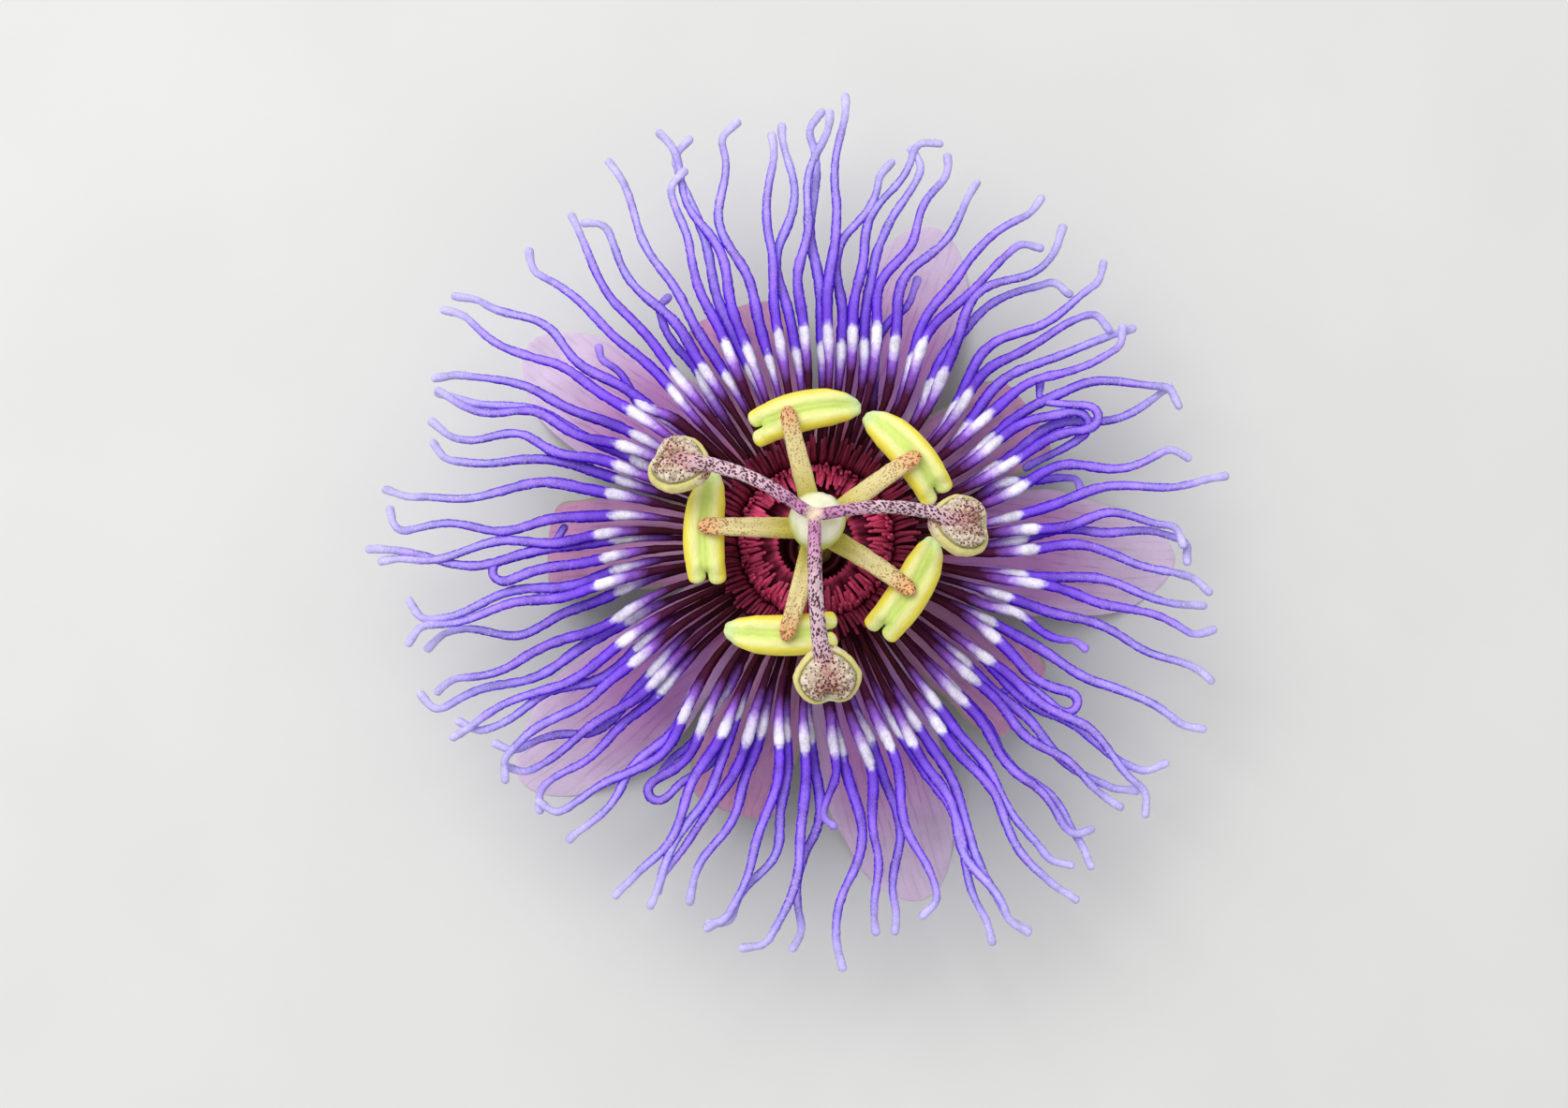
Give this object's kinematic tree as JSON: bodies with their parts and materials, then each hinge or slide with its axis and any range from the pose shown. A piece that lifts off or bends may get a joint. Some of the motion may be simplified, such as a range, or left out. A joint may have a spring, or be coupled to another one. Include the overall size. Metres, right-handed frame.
{
  "type": "passion flower",
  "caption": "Picked passion flower resting face up on its drooped petals, with a wavy violet corona, stamens, ovary, styles and stigmas.",
  "frame": {"origin": "on the surface that the flower rests on, under the middle of its plan", "axes": "+Z up along the flower's axis, out of its face; +X to the right and +Y up in the face-on view"},
  "size_m": [0.1056, 0.1084, 0.0444],
  "materials": {
    "green_tissue": "matte",
    "sepal": "matte",
    "petal": "matte",
    "corona": "matte",
    "inner_corona": "satin",
    "stamen_tissue": "satin",
    "anther": "matte",
    "ovary": "satin",
    "style": "satin",
    "stigma": "matte"
  },
  "bodies": {
    "root": {"stalk": "green_tissue", "bract_1": "green_tissue", "bract_2": "green_tissue", "bract_3": "green_tissue", "floral_cup": "green_tissue", "sepal_1": "sepal", "sepal_2": "sepal", "sepal_3": "sepal", "sepal_4": "sepal", "sepal_5": "sepal", "petal_1": "petal", "petal_2": "petal", "petal_3": "petal", "petal_4": "petal", "petal_5": "petal", "corona_filaments": "corona", "inner_corona": "inner_corona", "operculum": "inner_corona", "androgynophore": "stamen_tissue", "stamen_filament_1": "stamen_tissue", "anther_1": "anther", "stamen_filament_2": "stamen_tissue", "anther_2": "anther", "stamen_filament_3": "stamen_tissue", "anther_3": "anther", "stamen_filament_4": "stamen_tissue", "anther_4": "anther", "stamen_filament_5": "stamen_tissue", "anther_5": "anther", "ovary": "ovary", "style_1": "style", "stigma_1": "stigma", "style_2": "style", "stigma_2": "stigma", "style_3": "style", "stigma_3": "stigma"}
  },
  "joints": []
}
